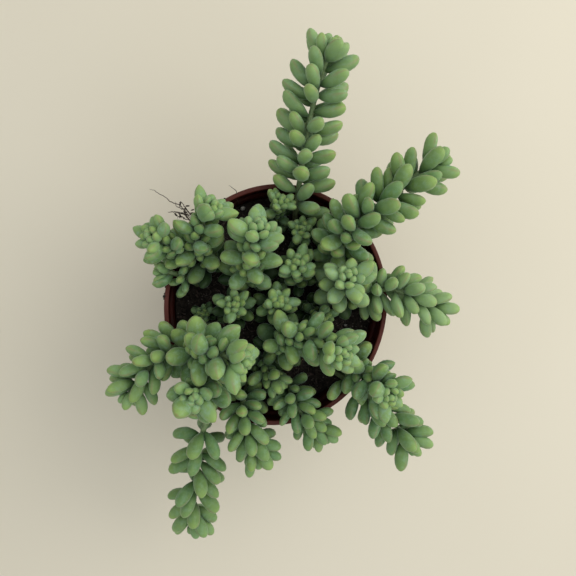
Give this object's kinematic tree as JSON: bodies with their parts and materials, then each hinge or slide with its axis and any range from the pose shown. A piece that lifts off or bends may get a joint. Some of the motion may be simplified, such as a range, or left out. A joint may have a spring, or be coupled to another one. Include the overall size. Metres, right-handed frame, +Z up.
{
  "type": "potted burros tail plant",
  "caption": "Trailing succulent with plump spirally set leaves on leafy shoots, standing in soil in a thin tapered nursery pot with drainage holes.",
  "frame": {"origin": "middle of the flat underside of the pot", "axes": "+Z up; +Y towards the longest shoot, which is up in the picture; +X to the right of the picture"},
  "size_m": [0.1808, 0.2717, 0.1456],
  "materials": {
    "pot_plastic": "thin moulded plastic, terracotta brown, slightly scuffed",
    "soil": "dark crumbly potting mix with bark and root bits",
    "leaf": "smooth waxy blue-green leaf with pale bloom, yellow-green at the tip"
  },
  "bodies": {
    "root": {"pot": "pot_plastic", "soil": "soil", "shoot_back_long": "leaf", "shoot_back_right": "leaf", "shoot_right": "leaf", "shoot_left_front_big": "leaf", "shoot_left_front_rosette": "leaf", "shoot_back_middle": "leaf", "shoot_right_front_big": "leaf", "shoot_right_rosette": "leaf", "shoot_back_left": "leaf", "shoot_left_rosette": "leaf", "shoot_right_front_rosette": "leaf", "shoot_right_front_low": "leaf", "shoot_left_front_out": "leaf", "shoot_front_left_long": "leaf", "shoot_front": "leaf", "shoot_front_right": "leaf", "shoot_middle_front_rosette": "leaf", "shoot_middle_left_rosette": "leaf", "shoot_middle_rosette": "leaf", "shoot_middle_front": "leaf", "shoot_back_small": "leaf", "shoot_middle_back_small": "leaf", "shoot_left_sprig": "leaf", "shoot_right_low": "leaf", "shoot_soil_rosette": "leaf"}
  },
  "joints": []
}
